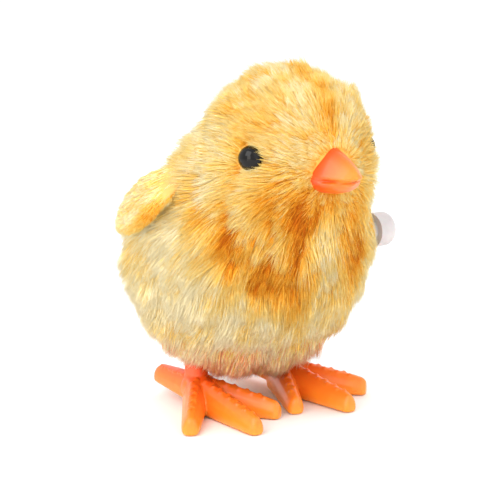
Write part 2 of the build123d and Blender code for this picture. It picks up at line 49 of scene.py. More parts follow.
# ---------------------------------------------------------------- sizes, in millimetres
# Outline of the plush at the tips of its pile: height, half width, front, rear.
OUTLINE = [
    (7.0, 0.4, 6.6, 7.4),
    (7.5, 6.5, 0.5, 13.5),
    (10.0, 13.0, -6.0, 20.0),
    (14.0, 18.9, -11.4, 23.8),
    (20.0, 23.6, -16.8, 27.6),
    (28.0, 26.8, -20.8, 29.9),
    (36.0, 27.4, -22.3, 29.7),
    (42.0, 26.3, -22.8, 27.9),
    (47.0, 24.2, -24.2, 25.5),
    (52.0, 21.3, -25.6, 21.4),
    (57.0, 19.2, -25.9, 15.2),
    (62.0, 17.5, -25.0, 8.9),
    (67.0, 14.8, -22.6, 5.1),
    (70.6, 10.6, -18.8, 2.2),
    (73.4, 5.2, -13.4, -3.4),
    (74.1, 0.4, -8.4, -7.8),
]
SKIN_INSET = 2.3  # deep enough for the pile, and clear of the shell inside
GRID_LEVELS = 150
GRID_AROUND = 180

STRANDS = 230000
STRANDS_PER_PIECE = 12000  # 16 triangles each
SEGMENTS = 3
STRAND_R = 0.085
PLUSH_AREA = 13500.0  # square millimetres, for the number of clumps
PILE_LENGTH = 5.2
PILE_EXTRA = 1.4  # longer by this below the head
DROOP = 0.16
TUFT_SPACING = 1.6
TUFT_PULL = 0.48
LOCK_SPACING = 6.5
LOCK_PULL = 0.16

EYE_BARE = 3.2
BEAK_BARE = (4.6, 4.0)  # half width and half height
BEAK_BARE_Z = 54.0
KNOB_BARE = 3.2

BEAK_ROOT = np.array([0.0, -29.0, 54.0])
EYE = np.array([14.6, -15.5, 56.8])
KNOB_Y = -4.4
KNOB_Z = 36.0
LEG_X = 11.3
LEG_ROOM = ((8.1, 5.2, 0.0), (14.4, 19.2, 14.4))  # space the left leg swings through
SHOULDER = np.array([20.4, -1.2, 56.6])
WING_TIP = np.array([29.8, 12.1, 40.9])
WING_NORMAL = np.array([0.85, 0.19, 0.49])
WING_HALF_WIDTH = 6.6
WING_HALF_THICKNESS = 2.3
WING_INSET = 1.7  # from the tips of the wing's pile to its cloth
WING_SHIFT = 1.1  # towards the wing's lower edge
WING_TUCK = 0.7  # towards the flank
WING_ROOT_SINK = 1.3  # how much deeper the shoulder end lies
WING_STRANDS = 12000  # on each wing
WING_AREA = 560.0
WING_LIFT = 0.24
WING_DROOP = 0.10
WING_TUFT_SPACING = 1.3
WING_TUFT_PULL = 0.35

ANKLE = np.array([11.4, 7.8, 4.4])
TOES = [(23.0, -6.2, 1.9), (12.6, -13.9, 1.9), (3.0, -8.1, 1.9)]
HIND_TOE = (10.9, 21.1, 4.6)
TOE_ROOT = (2.9, 3.5)  # half width and height
TOE_END = (1.95, 2.1)
HIND_ROOT = (2.7, 3.2)
HIND_END = (2.0, 1.7)
HEEL_R = 3.3
STEM_CUT_Z = 6.5  # the CAD foot is kept above this height
SCALE_R = 0.55
SCALE_PITCH = 1.45
SCALE_START = 3.2
SCALE_SIDE = 0.42
SCALE_SINK = 0.34
FOOT_VOXEL = 0.22

BEAK_SECTIONS = [  # y, half width, height of the ridge, height of the underside
    (-19.5, 5.4, 59.3, 49.8),
    (-22.4, 5.7, 58.9, 49.4),
    (-24.8, 5.1, 57.9, 49.6),
    (-27.0, 4.0, 56.7, 50.1),
    (-28.8, 2.8, 55.4, 50.7),
    (-30.0, 1.6, 54.2, 51.4),
    (-30.5, 0.2, 53.0, 52.4),
]
PARTINGS = [  # centre and size of the deeper golden partings of the breast, where the orange roots show and the shade of the deep pile is painted in
    (-18.5, -15.6, 41.5, 4.6),
    (-11.5, -20.0, 36.5, 4.8),
    (-5.0, -21.8, 33.0, 4.2),
    (-7.3, -21.3, 44.0, 3.4),
    (9.5, -20.5, 38.0, 4.5),
]
CLEFT_Z = 52.6  # where the two halves of the beak meet

# ---------------------------------------------------------------- small helpers
rng = np.random.default_rng(SEED)
scene = bpy.context.scene


def unit(v):
    length = np.linalg.norm(v, axis=-1, keepdims=True)
    return v / np.maximum(length, 1e-9)


def smooth(value, low, high):
    """0 below low, 1 above high, and an even curve between."""
    t = np.clip((value - low) / (high - low), 0, 1)
    return t * t * (3 - 2 * t)


def tangent(direction, normal):
    """The part of a direction that lies along the surface."""
    along = direction - normal * np.sum(direction * normal, axis=-1, keepdims=True)
    return unit(along)


def waves(points, scale, seed):
    """Smooth random value from -1 to 1 that changes over about scale millimetres."""
    draw = np.random.default_rng(seed)
    total = np.zeros(len(points))
    for _ in range(6):
        way = unit(draw.normal(size=3)) * 2 * pi / scale * draw.uniform(0.6, 1.5)
        total += np.sin(points @ way + draw.uniform(0, 2 * pi))
    return np.clip(total / 3, -1, 1)


def srgb(red, green, blue):
    """Linear colour with alpha from 0-255 display values."""
    values = np.array([red, green, blue]) / 255
    linear = np.where(values <= 0.04045, values / 12.92, ((values + 0.055) / 1.055) ** 2.4)
    return (*[float(v) for v in linear], 1.0)


def link(obj, body):
    """Adds a new piece to the scene and to a body."""
    scene.collection.objects.link(obj)
    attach(obj, body)
    return obj


def mesh_object(name, points, faces, shade=True):
    """Object from points in millimetres and faces as lists of point numbers."""
    mesh = bpy.data.meshes.new(name)
    mesh.from_pydata([tuple(p) for p in np.asarray(points) * MM], [], faces)
    mesh.update()
    if shade:
        mesh.shade_smooth()
    return bpy.data.objects.new(name, mesh)


# ---------------------------------------------------------------- materials
def material(name, colour, roughness, **sockets):
    """Principled material. Even values go straight on the shader's sockets."""
    made = bpy.data.materials.new(name)
    made.use_nodes = True
    shader = made.node_tree.nodes["Principled BSDF"]
    shader.inputs["Base Color"].default_value = colour
    shader.inputs["Roughness"].default_value = roughness
    for socket, value in sockets.items():
        shader.inputs[socket.replace("_", " ")].default_value = value
    return made


def mottle(made, colours, scale, detail=4.0):
    """Base colour that wanders between colours in a cloudy pattern."""
    nodes, links = made.node_tree.nodes, made.node_tree.links
    where = nodes.new("ShaderNodeTexCoord")
    noise = nodes.new("ShaderNodeTexNoise")
    noise.inputs["Scale"].default_value = scale
    noise.inputs["Detail"].default_value = detail
    ramp = nodes.new("ShaderNodeValToRGB")
    ramp.color_ramp.elements[0].position = 0.32
    ramp.color_ramp.elements[1].position = 0.68
    ramp.color_ramp.elements[0].color = colours[0]
    ramp.color_ramp.elements[1].color = colours[-1]
    links.new(where.outputs["Object"], noise.inputs["Vector"])
    links.new(noise.outputs["Fac"], ramp.inputs["Fac"])
    links.new(ramp.outputs["Color"], nodes["Principled BSDF"].inputs["Base Color"])
    return ramp


def grain(made, scale, strength, distance=0.00005):
    """Fine bumps, as on moulded plastic or cloth."""
    nodes, links = made.node_tree.nodes, made.node_tree.links
    where = nodes.new("ShaderNodeTexCoord")
    noise = nodes.new("ShaderNodeTexNoise")
    noise.inputs["Scale"].default_value = scale
    noise.inputs["Detail"].default_value = 6.0
    bump = nodes.new("ShaderNodeBump")
    bump.inputs["Strength"].default_value = strength
    bump.inputs["Distance"].default_value = distance
    links.new(where.outputs["Object"], noise.inputs["Vector"])
    links.new(noise.outputs["Fac"], bump.inputs["Height"])
    links.new(bump.outputs["Normal"], nodes["Principled BSDF"].inputs["Normal"])


def fade(made, axis, start, end, near, far, waver=0.0012):
    """Base colour that changes from near to far along an axis, with an uneven front."""
    nodes, links = made.node_tree.nodes, made.node_tree.links
    where = nodes.new("ShaderNodeTexCoord")
    split = nodes.new("ShaderNodeSeparateXYZ")
    noise = nodes.new("ShaderNodeTexNoise")
    noise.inputs["Scale"].default_value = 350.0
    shift = nodes.new("ShaderNodeMath")
    shift.operation = "MULTIPLY_ADD"
    shift.inputs[1].default_value = waver
    span = nodes.new("ShaderNodeMapRange")
    span.inputs["From Min"].default_value = start * MM
    span.inputs["From Max"].default_value = end * MM
    ramp = nodes.new("ShaderNodeValToRGB")
    ramp.color_ramp.elements[0].color = near
    ramp.color_ramp.elements[1].color = far
    links.new(where.outputs["Object"], split.inputs["Vector"])
    links.new(where.outputs["Object"], noise.inputs["Vector"])
    links.new(noise.outputs["Fac"], shift.inputs[0])
    links.new(split.outputs[axis], shift.inputs[2])
    links.new(shift.outputs["Value"], span.inputs["Value"])
    links.new(span.outputs["Result"], ramp.inputs["Fac"])
    links.new(ramp.outputs["Color"], nodes["Principled BSDF"].inputs["Base Color"])


# Pile colours from the roots, and the partings with their painted shade, deep gold, to the tips,
# pale cream.
PILE = [
    (0.00, (214, 116, 8)),
    (0.20, (244, 160, 30)),
    (0.42, (255, 198, 78)),
    (0.64, (255, 219, 124)),
    (0.84, (255, 232, 164)),
    (1.00, (255, 242, 200)),
]
TONES = 12
PAINTED_BOUNCE_TONES = [(248, 150, 96), (250, 172, 122), (251, 194, 150)]  # painted bounce light from the orange feet, low on the belly


def strand_material(name, colour):
    """Plain dull material for one tone of the pile."""
    return material(name, srgb(*colour), 0.75, Specular_IOR_Level=0.2)


def pile_materials():
    """One plain material per tone, so that colour varies from strand to strand."""
    steps, colours = zip(*PILE)
    made = []
    for index in range(TONES):
        at = index / (TONES - 1)
        colour = [np.interp(at, steps, [c[k] for c in colours]) for k in range(3)]
        made.append(strand_material(f"pile_tone_{index:02d}", colour))
    # The painted bounce light from the orange feet has tones of its own.
    for index, colour in enumerate(PAINTED_BOUNCE_TONES):
        made.append(strand_material(f"pile_painted_bounce_{index}", colour))
    return made


pile = pile_materials()

backing = material("plush_backing", srgb(250, 190, 84), 0.9)
mottle(backing, [srgb(246, 172, 62), srgb(254, 208, 112)], 180.0)
grain(backing, 2500.0, 0.6, 0.0002)

wing_cloth = material("wing_cloth", srgb(236, 184, 100), 0.85)
mottle(wing_cloth, [srgb(228, 160, 70), srgb(240, 196, 120)], 160.0)
grain(wing_cloth, 2500.0, 0.5, 0.00015)

foot_plastic = material(
    "foot_plastic", srgb(246, 130, 38), 0.34, Subsurface_Weight=0.25, Subsurface_Scale=0.002
)
fade(foot_plastic, "Z", 0.5, 9.0, srgb(255, 160, 46), srgb(244, 92, 20), 0.003)
grain(foot_plastic, 900.0, 0.35, 0.00006)

beak_plastic = material(
    "beak_plastic", srgb(246, 130, 38), 0.32, Subsurface_Weight=0.25, Subsurface_Scale=0.002
)
fade(beak_plastic, "Y", -30.5, -23.5, srgb(246, 142, 34), srgb(232, 76, 18))
grain(beak_plastic, 900.0, 0.2, 0.00004)

# The knob is white plastic; its colours are painted light grey for the shade it sits in.
knob_plastic = material(
    "knob_plastic", srgb(206, 200, 200), 0.38, Subsurface_Weight=0.15, Subsurface_Scale=0.002
)
mottle(knob_plastic, [srgb(198, 191, 192), srgb(213, 208, 208)], 220.0)
grain(knob_plastic, 1200.0, 0.25, 0.00004)

eye_plastic = material("eye_plastic", srgb(8, 7, 7), 0.06, Specular_IOR_Level=0.3)
mottle(eye_plastic, [srgb(5, 4, 4), srgb(14, 11, 10)], 300.0)
grain(eye_plastic, 600.0, 0.03, 0.00002)


def moulded(name, low, high):
    """Plain moulded plastic that wanders a little between two colours."""
    made = material(name, srgb(*high), 0.45)
    mottle(made, [srgb(*low), srgb(*high)], 200.0)
    grain(made, 1500.0, 0.25, 0.00004)
    return made


def metal(name, low, high, roughness):
    """Metal with fine uneven polish."""
    made = material(name, srgb(*high), roughness, Metallic=1.0)
    mottle(made, [srgb(*low), srgb(*high)], 900.0, 8.0)
    grain(made, 2600.0, 0.2, 0.00002)
    return made


BY_SLOT = {
    "plush": backing,
    "wing_plush": wing_cloth,
    "orange_plastic": foot_plastic,
    "beak_plastic": beak_plastic,
    "eye_plastic": eye_plastic,
    "knob_plastic": knob_plastic,
    "shell_plastic": moulded("shell_plastic", (222, 206, 160), (236, 222, 180)),
    "case_plastic": moulded("case_plastic", (204, 210, 212), (222, 226, 228)),
    "gear_plastic": moulded("gear_plastic", (232, 228, 214), (244, 241, 230)),
    "pinion_plastic": moulded("pinion_plastic", (176, 34, 26), (204, 52, 40)),
    "steel": metal("steel", (168, 170, 174), (196, 198, 202), 0.3),
    "spring_steel": metal("spring_steel", (96, 104, 122), (134, 140, 154), 0.28),
}


def dress_nodes():
    """Gives every CAD node that stays the detailed material of its slot."""
    for part in frame["record"]["subparts"]:
        node = frame["nodes"][part["node"]]
        node.data.materials.clear()
        node.data.materials.append(BY_SLOT[part["material_slot"]])


dress_nodes()


# ---------------------------------------------------------------- the plush body's surface
def body_grid():
    """Points and outward normals of the plush outline, level by level."""
    table = np.array(OUTLINE)
    at = np.linspace(0, len(table) - 1, GRID_LEVELS)
    rows = np.stack([np.interp(at, np.arange(len(table)), table[:, k]) for k in range(4)], 1)
    for _ in range(3):
        rows[1:-1] = (rows[:-2] + 2 * rows[1:-1] + rows[2:]) / 4
    turn = np.linspace(0, 2 * pi, GRID_AROUND, endpoint=False)
    z, half, front, rear = (rows[:, k][:, None] for k in range(4))
    x = half * np.cos(turn)
    y = (front + rear) / 2 + (rear - front) / 2 * np.sin(turn)
    points = np.stack([x, y, z + 0 * x], -1)
    around = np.roll(points, -1, 1) - np.roll(points, 1, 1)
    up = np.gradient(points, axis=0)
    return points, unit(np.cross(around, up))


grid, grid_normals = body_grid()


def skin_object():
    """Closed skin under the pile."""
    points = (grid - grid_normals * SKIN_INSET).reshape(-1, 3)
    faces = []
    for level in range(GRID_LEVELS - 1):
        for step in range(GRID_AROUND):
            right = (step + 1) % GRID_AROUND
            low, high = level * GRID_AROUND, (level + 1) * GRID_AROUND
            faces.append((low + step, low + right, high + right, high + step))
    faces.append(tuple(reversed(range(GRID_AROUND))))
    faces.append(tuple(range((GRID_LEVELS - 1) * GRID_AROUND, GRID_LEVELS * GRID_AROUND)))
    return mesh_object("plush_skin", points, faces)


def scatter(count):
    """Random points on the outline, evenly by area, with their normals."""
    a, b = grid[:-1], np.roll(grid, -1, 1)[:-1]
    c = grid[1:]
    area = np.linalg.norm(np.cross(b - a, c - a), axis=-1).ravel()
    pick = rng.choice(area.size, count, p=area / area.sum())
    level, step = np.divmod(pick, GRID_AROUND)
    right = (step + 1) % GRID_AROUND
    u, v = rng.random((2, count, 1))

    def mix(values):
        low = values[level, step] * (1 - u) + values[level, right] * u
        high = values[level + 1, step] * (1 - u) + values[level + 1, right] * u
        return low * (1 - v) + high * v

    return mix(grid), unit(mix(grid_normals))


def mirrored(points):
    """The points with both sides folded onto the left one."""
    return np.concatenate([np.abs(points[:, :1]), points[:, 1:]], 1)


def bare(points):
    """True where an eye, the beak or the knob comes through the plush."""
    folded = mirrored(points)
    at_eye = np.linalg.norm(folded - EYE, axis=1) < EYE_BARE
    beak_x = points[:, 0] / BEAK_BARE[0]
    beak_z = (points[:, 2] - BEAK_BARE_Z) / BEAK_BARE[1]
    at_beak = (beak_x**2 + beak_z**2 < 1) & (points[:, 1] < -15)
    knob_gap = np.linalg.norm(points[:, 1:] - [KNOB_Y, KNOB_Z], axis=1)
    at_knob = (knob_gap < KNOB_BARE) & (points[:, 0] > 0)
    return at_eye | at_beak | at_knob


def in_leg_room(lines):
    """True for the strands that pass through the space where a leg swings."""
    low, high = LEG_ROOM
    folded = np.concatenate([np.abs(lines[..., :1]), lines[..., 1:]], -1)
    return ((folded > low) & (folded < high)).all(-1).any(-1)


# ---------------------------------------------------------------- pile
def groom(points, normals):
    """Which way the pile is brushed at each point."""
    from_beak = unit(points - BEAK_ROOT)
    body_way = 0.55 * from_beak + np.array([0, 0.15, -0.75])
    head = smooth(points[:, 2], 42, 53)[:, None]
    way = head * from_beak + (1 - head) * body_way
    swirl = np.stack([waves(points, 16, 11 + k) for k in range(3)], 1)
    return tangent(way + 0.28 * swirl, normals)


def pile_length(points):
    """Length of the pile: short round the eyes and beak, longer on the body."""
    folded = mirrored(points)
    eye_gap = np.linalg.norm(folded - EYE, axis=1)
    beak_gap = np.linalg.norm(points - [0, -24.5, 54.2], axis=1)
    length = PILE_LENGTH + PILE_EXTRA * smooth(points[:, 2], 50, 40)
    length *= 0.50 + 0.50 * smooth(eye_gap, 2.4, 5.8)
    length *= 0.45 + 0.55 * smooth(beak_gap, 5.5, 11)
    length *= 1 + 0.12 * smooth(points[:, 2], 46, 52) * smooth(points[:, 0], 6, 13)
    length *= 1 + 0.10 * wing_seam(points) + 0.30 * shoulder(points)
    length *= 1 + 0.22 * waves(points, 9, 31)
    return length


def parting_roots_and_shade(points):
    """1 in the deeper golden partings of the breast, where the orange roots show and shade is
    painted into the pile; 0 away from them.
    """
    total = np.zeros(len(points))
    for *centre, size in PARTINGS:
        away = (points - centre) * [1.0, 0.6, 0.75]
        wobble = 1 + 0.35 * waves(points, 6, 41)
        total += np.exp(-np.sum(away**2, axis=1) / (size * wobble) ** 2)
    return np.clip(total, 0, 1)


def painted_crease_shade(points):
    """1 along the crease from the crown to the top of the beak, and on the cheek under the beak,
    where painted shade makes the pile deep orange.
    """
    x, y, z = points.T
    crease = np.exp(-((x / 2.2) ** 2)) * smooth(z, 57, 61) * smooth(-y, 8, 16)
    under = np.exp(-((x / 9) ** 2) - ((z - 47.5) / 3.5) ** 2) * smooth(-y, 14, 20)
    return np.clip(crease + 0.9 * under, 0, 1)


def wing_seam(points):
    """1 in the body's pile close round either wing, 0 away from it."""
    folded = mirrored(points)
    along = WING_TIP - SHOULDER
    at = np.clip((folded - SHOULDER) @ along / (along @ along), 0, 1)[:, None]
    gap = np.linalg.norm(folded - SHOULDER - at * along, axis=1)
    return 1 - smooth(gap, 6.0, 10.5)


def shoulder(points):
    """1 just in front of a wing's root, where the body's pile runs over its edge."""
    gap = np.linalg.norm(mirrored(points) - SHOULDER + [0, 2.5, 0], axis=1)
    return 1 - smooth(gap, 3.5, 7.5)


def pile_tone(points):
    """Tone from 0, deep gold, to 1, cream, of the pile at each point, with painted shade making
    the partings, creases and pile round the wings deeper gold.
    """
    x, y, z = points.T
    tone = 0.72 + 0.08 * smooth(y, -12, 12)
    tone += 0.05 * smooth(np.abs(x), 14, 24)
    tone -= 0.10 * smooth(z, 44, 50) * smooth(-y, -2, 10)
    tone -= 0.07 * smooth(-y, 8, 20) * smooth(z, 20, 30)
    # Partings: the orange roots show there, and their shade is painted in as deeper gold.
    tone -= 0.60 * parting_roots_and_shade(points)
    # Painted shade along the crown crease and under the beak.
    tone -= 0.34 * painted_crease_shade(points)
    # Painted shade, with the orange roots, in the crease round either wing.
    tone -= 0.12 * wing_seam(points)
    front = smooth(-y, -12, 4)
    tone += 0.14 * waves(points, 12, 51) + (0.03 + 0.05 * front) * waves(points, 4, 52)
    return tone


def painted_bounce_light(points):
    """1 low on the belly near the legs, where bounce light from the orange feet is painted into
    the pile as pinkish orange.
    """
    x, y, z = points.T
    return smooth(-z, -22, -9) * np.exp(-(((np.abs(x) - LEG_X) / 13) ** 2)) * smooth(-y, -22, -8)


def nearest(points, spacing, area):
    """For each point the number of the point that leads its clump."""
    leaders = rng.choice(len(points), max(8, int(area / spacing**2)), replace=False)
    tree = KDTree(len(leaders))
    for index, leader in enumerate(leaders):
        tree.insert(points[leader], index)
    tree.balance()
    return leaders[[tree.find(p)[1] for p in points]]


def centrelines(roots, normals, way, length, lift, droop):
    """Centre line of each strand, root to tip, as strands x stations x 3."""
    t = np.linspace(0, 1, SEGMENTS + 1)[None, :, None]
    start = unit(normals * lift[:, None] + way * (1 - lift[:, None]))
    lean = (way - normals * 0.6) * droop
    return roots[:, None] + length[:, None, None] * (t * start[:, None] + t**2 * lean[:, None])


def gather(lines, leaders, strength):
    """Pulls the tips of the strands of each clump towards their leader's."""
    t = np.linspace(0, 1, SEGMENTS + 1)[None, :, None] ** 1.4
    return lines + (lines[leaders] - lines) * t * strength


def strand_mesh(name, lines, radius, tones):
    """Closed tapered strands, each a thin three-sided spike, as one mesh."""
    count = len(lines)
    stations = SEGMENTS
    along = unit(lines[:, 1:] - lines[:, :-1])
    across = unit(np.cross(along, rng.normal(size=(count, 1, 3))))
    third = np.cross(along, across)
    taper = (1 - np.linspace(0, 1, stations + 1)[:-1] ** 1.6)[None, :, None]
    rings = []
    for corner in range(3):
        turn = 2 * pi * corner / 3
        offset = across * cos(turn) + third * sin(turn)
        rings.append(lines[:, :-1] + offset * radius[:, None, None] * taper)
    ring = np.stack(rings, 2).reshape(count, stations * 3, 3)
    points = np.concatenate([ring, lines[:, -1:]], 1).reshape(-1, 3) * MM
    per_strand = stations * 3 + 1
    loops, sizes, segment = [[2, 1, 0]], [3], [0]
    for level in range(stations - 1):
        for corner in range(3):
            low, high = level * 3, level * 3 + 3
            right = (corner + 1) % 3
            loops.append([low + corner, low + right, high + right, high + corner])
            sizes.append(4)
            segment.append(level)
    for corner in range(3):
        last = (stations - 1) * 3
        loops.append([last + corner, last + (corner + 1) % 3, stations * 3])
        sizes.append(3)
        segment.append(stations - 1)
    flat = np.concatenate([np.array(face) for face in loops])
    shift = (np.arange(count) * per_strand)[:, None]
    corners = (flat[None] + shift).ravel()
    lengths = np.tile(sizes, count)
    mesh = bpy.data.meshes.new(name)
    mesh.vertices.add(len(points))
    mesh.vertices.foreach_set("co", points.astype(np.float32).ravel())
    mesh.loops.add(len(corners))
    mesh.loops.foreach_set("vertex_index", corners.astype(np.int32))
    mesh.polygons.add(len(lengths))
    starts = np.concatenate([[0], np.cumsum(lengths)[:-1]])
    mesh.polygons.foreach_set("loop_start", starts.astype(np.int32))
    mesh.update(calc_edges=True)
    for made in pile:
        mesh.materials.append(made)
    index = tones[:, segment].ravel()
    mesh.polygons.foreach_set("material_index", index.astype(np.int32))
    mesh.validate()
    return bpy.data.objects.new(name, mesh)


def strand_tones(points, tone, painted_bounce_weight):
    """Tone number for each strand and segment: deeper at the root, paler at the tip; some strands
    take the painted bounce light tones instead.
    """
    own = rng.normal(0, 0.07, len(points))
    rise = np.linspace(-0.13, 0.24, SEGMENTS)[None]
    value = (tone + own)[:, None] + rise
    index = np.clip(np.round(value * (TONES - 1)), 0, TONES - 1).astype(int)
    # Strands low on the belly take the tones of painted bounce light from the feet.
    lit = rng.random(len(points)) < 0.8 * painted_bounce_weight
    step = np.clip(np.arange(SEGMENTS), 0, len(PAINTED_BOUNCE_TONES) - 1)
    index[lit] = TONES + step
    return index


def spikiness(points):
    """How far the pile stands up: most on the crown and under the body."""
    crown = smooth(points[:, 2], 62, 71)
    under = smooth(-points[:, 2], -20, -12)
    head = smooth(points[:, 2], 46, 52)
    cheek = head * smooth(points[:, 0], 6, 13) * smooth(-points[:, 1], 4, 12)
    stand = 0.24 + 0.03 * head + 0.12 * crown + 0.16 * under + 0.15 * cheek
    stand += 0.10 * wing_seam(points) + 0.22 * shoulder(points) + 0.10 * waves(points, 7, 71)
    stand -= 0.05 * smooth(points[:, 1], 2, 12)
    return np.clip(stand, 0.14, 0.85)


def body_pile():
    """The pile of body and head, in pieces from the ground up."""
    count = STRANDS
    surface, normals = scatter(count)
    keep = ~bare(surface)
    surface, normals = surface[keep], normals[keep]
    roots = surface - normals * (SKIN_INSET + 0.15)
    way = groom(surface, normals)
    way = unit(way + 0.16 * rng.normal(size=way.shape))
    length = pile_length(surface) * rng.uniform(0.72, 1.12, len(surface))
    lift = spikiness(surface)
    lines = centrelines(roots, normals, way, length, lift, DROOP)
    lines = gather(lines, nearest(surface, LOCK_SPACING, PLUSH_AREA), LOCK_PULL)
    tuft = nearest(surface, TUFT_SPACING, PLUSH_AREA)
    lines = gather(lines, tuft, TUFT_PULL)
    own = rng.normal(0, 0.07, len(surface))
    tones = strand_tones(surface, pile_tone(surface) + own[tuft], painted_bounce_light(surface))
    radius = STRAND_R * rng.uniform(0.75, 1.25, len(surface))
    clear = np.flatnonzero(~in_leg_room(lines))
    order = clear[np.argsort(surface[clear, 2])]
    for number, start in enumerate(range(0, len(order), STRANDS_PER_PIECE)):
        pick = order[start : start + STRANDS_PER_PIECE]
        piece = strand_mesh(f"pile_{number:02d}", lines[pick], radius[pick], tones[pick])
        link(piece, "body")


skin = skin_object()
skin.data.materials.append(backing)
link(skin, "body")
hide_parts("fur_coat")
body_pile()


# ---------------------------------------------------------------- wings
def wing_frame(side):
    """Centre, lengthwise, crosswise and outward directions of a wing."""
    flip = np.array([side, 1, 1])
    shoulder, tip = SHOULDER * flip, WING_TIP * flip
    along = tip - shoulder
    outward = tangent(WING_NORMAL * flip, unit(along))
    across = unit(np.cross(outward, along))
    across *= np.sign(across @ [0, -1, -1])
    centre = (shoulder + tip) / 2 + WING_SHIFT * across - WING_TUCK * outward
    return centre, unit(along), across, outward, np.linalg.norm(along) / 2


def wing_point(side, u, v, grow=0.0):
    """Point of the wing pad: u goes round the rim, v from the outer to the inner face."""
    centre, along, across, outward, half = wing_frame(side)
    rim = np.sin(v)
    reach = half - WING_INSET - 0.6 + grow
    wide = (WING_HALF_WIDTH - 0.6) * (1 + 0.12 * np.cos(u)) + grow
    thick = WING_HALF_THICKNESS - 1.0 + grow
    flat = np.sign(np.cos(v)) * np.abs(np.cos(v)) ** 0.8
    a = (reach * rim * np.cos(u))[..., None] * along
    b = (wide * rim * np.sin(u))[..., None] * across
    sink = WING_ROOT_SINK * smooth(-np.cos(u) * rim, 0.2, 1.0)
    c = (thick * flat - sink)[..., None] * outward
    return centre + a + b + c


def wing_pad(side, name):
    """Crowned closed pad with its seam round the rim."""
    rows, around = 40, 72
    v = np.linspace(0.04, pi - 0.04, rows)[:, None]
    u = np.linspace(0, 2 * pi, around, endpoint=False)[None]
    points = wing_point(side, u + 0 * v, v + 0 * u).reshape(-1, 3)
    faces = []
    for row in range(rows - 1):
        for step in range(around):
            right = (step + 1) % around
            low, high = row * around, (row + 1) * around
            faces.append((low + step, high + step, high + right, low + right))
    faces.append(tuple(range(around)))
    faces.append(tuple(reversed(range((rows - 1) * around, rows * around))))
    pad = mesh_object(name, points, faces)
    mesh = bmesh.new()
    mesh.from_mesh(pad.data)
    bmesh.ops.recalc_face_normals(mesh, faces=mesh.faces)
    mesh.to_mesh(pad.data)
    mesh.free()
    pad.data.materials.append(wing_cloth)
    return pad


def wing_pile(side, name):
    """Short flat pile, brushed towards the wing's tip, deeper along its lower edge, where the
    crease's shade is painted in over the orange roots.
    """
    along = wing_frame(side)[1]
    count = WING_STRANDS
    u = rng.uniform(0, 2 * pi, count)
    v = np.arccos(rng.uniform(-1, 1, count))
    roots = wing_point(side, u, v, -0.15)
    normals = unit(wing_point(side, u, v, 1.0) - wing_point(side, u, v, 0.0))
    way = unit(along + 0.15 * rng.normal(size=(count, 3)))
    at_tip = np.clip(normals @ along, 0, 1)
    length = rng.uniform(2.2, 3.4, count) * (1 - 0.5 * at_tip)
    lines = centrelines(roots, normals, way, length, np.full(count, WING_LIFT), WING_DROOP)
    lines = gather(lines, nearest(roots, WING_TUFT_SPACING, WING_AREA), WING_TUFT_PULL)
    lower_edge_shade_and_roots = smooth(np.sin(u) * np.sin(v), 0.45, 0.97)
    # Painted shade of the crease, with the orange roots, along the wing's lower edge.
    tone = 0.70 - 0.40 * lower_edge_shade_and_roots + 0.12 * waves(roots, 6, 91)
    tones = strand_tones(roots, tone, np.zeros(count))
    radius = np.full(count, STRAND_R * 1.3)
    return strand_mesh(name, lines, radius, tones)


for side, word in ((1, "left"), (-1, "right")):
    pad = wing_pad(side, f"wing_pad_{word}")
    link(pad, "body")
    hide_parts(f"wing_{word}")
    link(wing_pile(side, f"wing_pile_{word}"), "body")


# ---------------------------------------------------------------- beak
def beak_object():
    """Beak with a ridged, roughly triangular top half and a shorter lower half."""
    stations, around = 80, 120
    table = np.array(BEAK_SECTIONS)
    at = np.linspace(0, len(table) - 1, stations)
    rows = np.stack([np.interp(at, np.arange(len(table)), table[:, k]) for k in range(4)], 1)
    for _ in range(5):
        rows[1:-1] = (rows[:-2] + 2 * rows[1:-1] + rows[2:]) / 4
    turn = np.linspace(0, 2 * pi, around, endpoint=False)
    y, wide, ridge, under = (rows[:, k][:, None] for k in range(4))
    upper = np.clip(np.sin(turn), 0, 1)
    lower = np.clip(-np.sin(turn), 0, 1)
    x = wide * np.cos(turn) * (1 - 0.42 * upper)
    z = CLEFT_Z + (ridge - CLEFT_Z) * upper - (CLEFT_Z - under) * lower
    y = y + 0 * x
    groove = smooth(-y, 23.4, 26.0) * np.exp(-(((z - CLEFT_Z + 0.15) / 0.36) ** 2))
    x = x * (1 - 0.20 * groove) - 0.35 * np.sign(x) * groove
    below = smooth(CLEFT_Z - z, 0.05, 0.55) * smooth(-y, 26.5, 30.0)
    y = y + 1.5 * below + 0.7 * groove * smooth(-y, 28.5, 30.2)
    points = np.stack([x, y, z], -1).reshape(-1, 3)
    faces = []
    for row in range(stations - 1):
        for step in range(around):
            right = (step + 1) % around
            low, high = row * around, (row + 1) * around
            faces.append((low + step, low + right, high + right, high + step))
    faces.append(tuple(reversed(range(around))))
    faces.append(tuple(range((stations - 1) * around, stations * around)))
    made = mesh_object("beak_shape", points, faces)
    made.data.materials.append(beak_plastic)
    return made


beak = beak_object()
link(beak, "body")
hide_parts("beak")


# ---------------------------------------------------------------- feet
def add_hull(mesh, points):
    """Adds the convex hull of the points, in millimetres, as one closed lump."""
    verts = [mesh.verts.new(tuple(np.asarray(p) * MM)) for p in points]
    made = bmesh.ops.convex_hull(mesh, input=verts)
    inside = [v for v in made["geom_interior"] if isinstance(v, bmesh.types.BMVert)]
    bmesh.ops.delete(mesh, geom=inside, context="VERTS")


def toe_section(centre, across, wide, top, bottom):
    """Toe section with a narrow crest, sloping flanks and a flat sole."""
    outline = [
        (0.0, top),
        (0.36, top * 0.88),
        (0.70, top * 0.48),
        (0.94, -bottom * 0.05),
        (1.0, -bottom * 0.45),
        (0.95, -bottom * 0.8),
        (0.78, -bottom),
    ]
    points = []
    for part, height in outline:
        for sign in (1, -1):
            points.append(centre + across * (sign * part * wide) + np.array([0, 0, height]))
    return points


